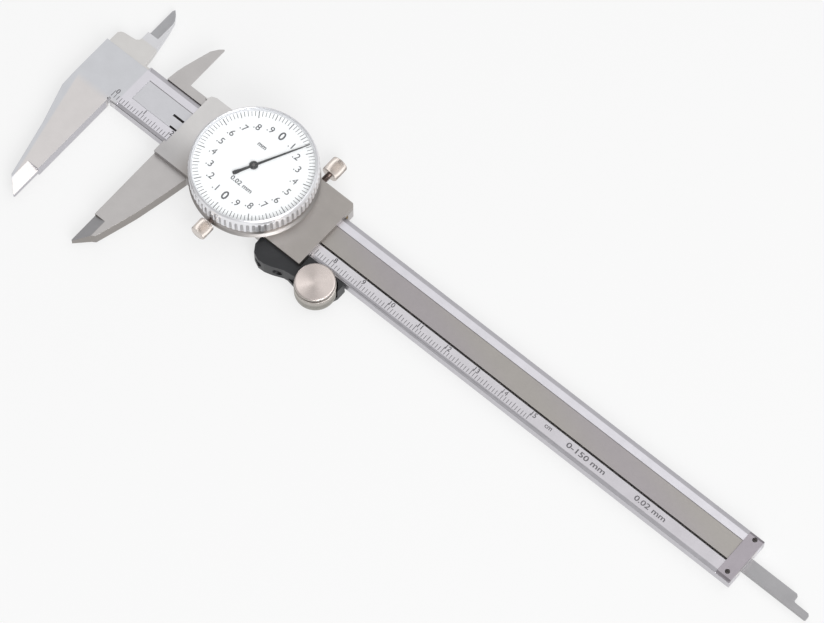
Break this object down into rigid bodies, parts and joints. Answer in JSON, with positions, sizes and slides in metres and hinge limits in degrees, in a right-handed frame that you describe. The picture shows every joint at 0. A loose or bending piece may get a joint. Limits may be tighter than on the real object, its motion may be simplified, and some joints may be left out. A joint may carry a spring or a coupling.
{
  "type": "dial caliper",
  "caption": "Dial caliper with outside and inside jaws, depth rod, geared dial with turning bezel, thumb roller and clamp screws.",
  "frame": {"origin": "lower corner of the fixed outside measuring face where it meets the beam's lower edge, at the beam's front face", "axes": "+X along the beam from the fixed jaw towards the depth rod's tip, +Y towards the inside jaws, +Z out of the dial"},
  "size_m": [0.2546, 0.0728, 0.0154],
  "materials": {
    "beam_steel": "satin ground",
    "cover_steel": "matte ground",
    "slider_steel": "satin ground",
    "rod_steel": "satin",
    "dark_steel": "satin",
    "chrome_ring": "satin chrome",
    "brass": "satin",
    "black_holder": "satin black",
    "white_dial": "satin white",
    "clear_crystal": "clear",
    "black_needle": "satin black",
    "nickel": "turned nickel"
  },
  "bodies": {
    "beam": {"main_beam": "beam_steel", "gear_rack": "dark_steel", "cover_strip": "cover_steel", "rack_pins": "dark_steel", "end_clamp": "beam_steel", "end_clamp_screws": "dark_steel"},
    "slider": {"slider_body": "slider_steel", "back_plate": "slider_steel", "back_plate_screws": "dark_steel", "gib_strip": "brass", "gib_screws": "dark_steel", "depth_rod": "rod_steel", "rod_screws": "dark_steel", "dial_case": "chrome_ring", "dial_case_screws": "dark_steel", "bezel_snap_ring": "dark_steel", "movement_plate": "brass", "movement_pillars": "brass", "movement_screws": "dark_steel", "hairspring": "dark_steel", "thumb_holder": "black_holder", "thumb_holder_screws": "dark_steel", "roller_axle": "dark_steel"},
    "bezel": {"bezel_ring": "chrome_ring", "dial_face": "white_dial", "crystal": "clear_crystal"},
    "pointer": {"pointer_arbor": "dark_steel", "needle": "black_needle"},
    "wheel": {"rack_pinion": "dark_steel", "gear_wheel": "brass"},
    "takeup": {"takeup_arbor": "dark_steel", "takeup_wheel": "brass"},
    "roller": {"thumb_roller": "nickel"},
    "slider_lock": {"slider_lock_screw": "nickel"},
    "bezel_lock": {"bezel_lock_screw": "nickel"}
  },
  "joints": [
    {"name": "slider_slide", "type": "slide", "parent": "beam", "child": "slider", "axis": [1, 0, 0], "range_m": [-0.0211, 0.131]},
    {"name": "bezel_turn", "type": "hinge", "parent": "slider", "child": "bezel", "pos_m": [0.0478, 0.0075, 0.009], "axis": [0, 0, 1], "continuous": true},
    {"name": "wheel_spin", "type": "hinge", "parent": "slider", "child": "wheel", "pos_m": [0.04033, 0.00475, 0.0024], "axis": [0, 0, 1], "continuous": true},
    {"name": "pointer_spin", "type": "hinge", "parent": "slider", "child": "pointer", "pos_m": [0.0478, 0.0075, 0.0093], "axis": [0, 0, 1], "continuous": true},
    {"name": "takeup_spin", "type": "hinge", "parent": "slider", "child": "takeup", "pos_m": [0.05527, 0.01025, 0.0024], "axis": [0, 0, 1], "continuous": true},
    {"name": "roller_spin", "type": "hinge", "parent": "slider", "child": "roller", "pos_m": [0.0815, -0.00593, 0], "axis": [0, 0, 1], "continuous": true},
    {"name": "slider_lock_turn", "type": "hinge", "parent": "slider", "child": "slider_lock", "pos_m": [0.0617, 0.0224, -0.0016], "axis": [0, 1, 0], "range_deg": [-180, 180]},
    {"name": "bezel_lock_turn", "type": "hinge", "parent": "slider", "child": "bezel_lock", "pos_m": [0.0478, -0.0101, 0.0033], "axis": [0, -1, 0], "range_deg": [-180, 180]}
  ],
  "couplings": [
    {"joint": "wheel_spin", "follows": "slider_slide", "rad_per_m": 785.4},
    {"joint": "pointer_spin", "follows": "slider_slide", "rad_per_m": -3141.6},
    {"joint": "takeup_spin", "follows": "slider_slide", "rad_per_m": 785.4},
    {"joint": "roller_spin", "follows": "slider_slide", "rad_per_m": -169.49}
  ]
}
